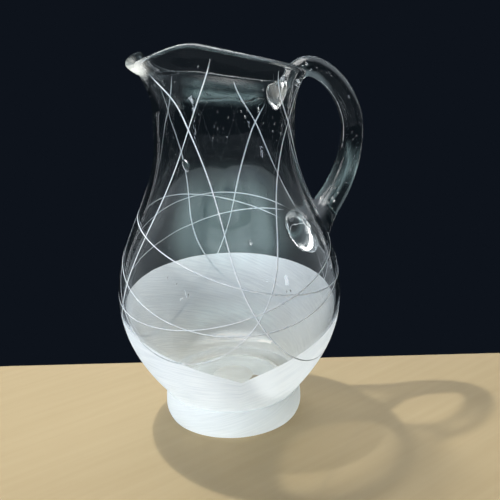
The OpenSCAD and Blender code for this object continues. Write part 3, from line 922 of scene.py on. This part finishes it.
def table_material():
    """Pale sealed wood without a figure: satin, with a very faint long grain. Where the glass mirrors
    it, its colour is swapped for a painted dark tone: painted shade, as of a table in half shade."""
    material, tree, out = new_material("pale_table")
    place = node(tree, "ShaderNodeTexCoord")
    stretch = node(tree, "ShaderNodeMapping", inputs={
        "Vector": place.outputs["Object"], "Rotation": (0, 0, radians(CAMERA_TURN)),
        "Scale": (3.0, 60.0, 1.0)})
    grain = node(tree, "ShaderNodeTexNoise", inputs={
        "Vector": stretch.outputs["Vector"], "Scale": 3.0, "Detail": 4.0})
    tone = tones(tree, grain.outputs["Fac"], ((0.0, "#948361"), (1.0, "#A19170")))
    # Painted shade: after a mirroring the table shows #2C2F33 instead of its own tone.
    path = node(tree, "ShaderNodeLightPath")
    shade = node(tree, "ShaderNodeMix", settings={"data_type": "RGBA"}, inputs={
        0: path.outputs["Glossy Depth"], 6: tone, 7: srgb("#2C2F33")})
    wood = node(tree, "ShaderNodeBsdfPrincipled", inputs={
        "Base Color": shade.outputs[2], "Roughness": 0.6})
    tree.links.new(wood.outputs["BSDF"], out.inputs["Surface"])
    return material


def table():
    """A board that ends straight behind the pitcher, square to the camera's heading: its level top,
    a quarter-round edge and its end face, carried sideways."""
    ahead, right = level(CAMERA_TURN + CAMERA_YAW)
    bend = np.linspace(0, np.pi / 2, 9)
    away = np.concatenate([[-TABLE_HALF], TABLE_BACK - TABLE_ROUND * (1 - np.sin(bend)), [TABLE_BACK]])
    down = np.concatenate([[0], TABLE_ROUND * (1 - np.cos(bend)), [TABLE_THICK]])
    profile = away[:, None] * ahead - down[:, None] * np.array([0, 0, 1])
    points = np.concatenate([profile - TABLE_HALF * right, profile + TABLE_HALF * right])
    n = len(profile)
    j = np.arange(n - 1)
    stage_sheet("table", points, np.stack([j, j + n, j + n + 1, j + 1], -1), table_material())


def backdrop():
    """Dark slate for the camera. For what the glass shows, nearly black all round, with a faint ground,
    a dim sky and a bright one overhead, which the rim and the pads catch. A soft pale light for all
    else."""
    world = bpy.data.worlds.new("studio")
    bpy.context.scene.world = world
    world.use_nodes = True
    tree = world.node_tree
    tree.nodes.clear()
    path = node(tree, "ShaderNodeLightPath")
    in_glass = node(tree, "ShaderNodeMath", settings={"operation": "MAXIMUM"}, inputs={
        0: path.outputs["Is Glossy Ray"], 1: path.outputs["Is Transmission Ray"]})
    heading = node(tree, "ShaderNodeTexCoord")
    parts = node(tree, "ShaderNodeSeparateXYZ", inputs={"Vector": heading.outputs["Generated"]})
    height = node(tree, "ShaderNodeMapRange", inputs={"Value": parts.outputs["Z"], "From Min": -1.0})
    stops = [((1 + sin(radians(up))) / 2, tone) for up, tone in SKY]
    tone = tones(tree, height.outputs["Result"], stops, "EASE")
    dark = node(tree, "ShaderNodeBackground", inputs={"Color": srgb("#0E131B"), "Strength": 1.0})
    sky = node(tree, "ShaderNodeBackground", inputs={"Color": tone, "Strength": SKY_STRENGTH})
    soft = node(tree, "ShaderNodeBackground", inputs={"Color": srgb("#E9EDF2"), "Strength": 0.25})
    lit = blend(tree, in_glass.outputs["Value"], soft.outputs["Background"], sky.outputs["Background"])
    mix = blend(tree, path.outputs["Is Camera Ray"], lit, dark.outputs["Background"])
    out = node(tree, "ShaderNodeOutputWorld")
    tree.links.new(mix, out.inputs["Surface"])


def glow_card(name, heading, reach, low, high, fade, pair, strength):
    """A bent card that only the glass shows: an upright part of a cylinder round the pitcher, centred
    on a heading from straight ahead, clockwise, that glows as open shade does. It is patchy, in a pair
    of tones, and fades towards all its edges."""
    ahead, right = level(CAMERA_TURN + heading)
    a = np.radians(np.linspace(-reach, reach, 61))
    foot_line = CARD_AWAY * (np.cos(a)[:, None] * ahead + np.sin(a)[:, None] * right)
    points = np.concatenate([foot_line + (0, 0, low), foot_line + (0, 0, high)])
    j = np.arange(len(a) - 1)
    material, tree, out = new_material(name + "_glow")
    place = node(tree, "ShaderNodeTexCoord")
    parts = node(tree, "ShaderNodeSeparateXYZ", inputs={"Vector": place.outputs["Object"]})
    near = node(tree, "ShaderNodeVectorMath", settings={"operation": "DOT_PRODUCT"}, inputs={
        0: place.outputs["Object"], 1: ahead.tolist()})
    side_dark, side_full = CARD_AWAY * cos(radians(reach)), CARD_AWAY * cos(radians(0.45 * reach))
    share = strength
    for value, dark, full in (
            (parts.outputs["Z"], low, low + fade), (parts.outputs["Z"], high, high - fade),
            (near.outputs["Value"], side_dark, side_full)):
        ramp = node(tree, "ShaderNodeMapRange", settings={"interpolation_type": "SMOOTHSTEP"}, inputs={
            "Value": value, "From Min": dark * MM, "From Max": full * MM})
        share = node(tree, "ShaderNodeMath", settings={"operation": "MULTIPLY"}, inputs={
            0: ramp.outputs["Result"], 1: share}).outputs["Value"]
    patch = node(tree, "ShaderNodeTexNoise", inputs={
        "Vector": place.outputs["Object"], "Scale": 1 / (PATCH * MM), "Detail": 2.0})
    tone = tones(tree, patch.outputs["Fac"], ((0.36, pair[0]), (0.62, pair[1])))
    glow = node(tree, "ShaderNodeEmission", inputs={"Color": tone, "Strength": share})
    tree.links.new(glow.outputs["Emission"], out.inputs["Surface"])
    card = stage_sheet(name, points, np.stack([j, j + 1, j + 1 + len(a), j + len(a)], -1), material)
    card.visible_camera = card.visible_diffuse = card.visible_shadow = False


def lamp(name, side, ahead, up, width, height, power, tint, mirrored=True):
    """A box that glows, aimed at the middle of the pitcher. Its place is given to the camera's right,
    ahead of the camera and up, from the pitcher. The glass shows it only if it is mirrored."""
    data = bpy.data.lights.new(name, "AREA")
    data.shape = "RECTANGLE"
    data.size, data.size_y = width * MM, height * MM
    data.energy = power
    data.color = srgb(tint)[:3]
    box = bpy.data.objects.new(name, data)
    box.visible_camera = False
    box.visible_glossy = box.visible_transmission = mirrored
    bpy.context.scene.collection.objects.link(box)
    forth, right = level(CAMERA_TURN)
    place = Vector(side * right + ahead * forth + (0, 0, up)) * MM
    facing = (LAMP_AIM * MM - place).to_track_quat("-Z", "Y")
    box.matrix_world = Matrix.Translation(place) @ facing.to_matrix().to_4x4()


table()
backdrop()
glow_card("open_shade", 180, 89, 215, 560, 170, ("#8FADB2", "#C9E9EC"), 3.2)
paths = bpy.context.scene.cycles
paths.max_bounces = paths.transmission_bounces = paths.glossy_bounces = BOUNCES
paths.transparent_max_bounces = BOUNCES
lamp("key_box", -380, 420, 1330, 36, 36, 16.0, "#FFFCF6", mirrored=False)
lamp("sun_card", -490, 490, 1300, 260, 260, 2.6, "#FFFBF2")
lamp("rim_box", 0, 900, 520, 1500, 600, 11.0, "#FFFFFF", mirrored=False)
lamp("strip_left", -620, 560, 330, 14, 700, 0.05, "#F6FAFF")
lamp("strip_right", 640, 540, 330, 14, 700, 0.05, "#F6FAFF")
lamp("window_left", -658, -614, 108, 12, 38, 0.012, "#E8F2FF")
lamp("window_right", 763, -477, 237, 22, 110, 0.07, "#E8F2FF")
lamp("fill_box", -780, -640, 320, 1100, 500, 13.0, "#F4F7FF", mirrored=False)
lamp("low_left", -1100, -250, 90, 400, 120, 4.0, "#EAF3FF", mirrored=False)
lamp("low_front", 350, -1150, 60, 400, 100, 2.5, "#EAF3FF", mirrored=False)

bpy.context.scene.view_settings.view_transform = "Standard"
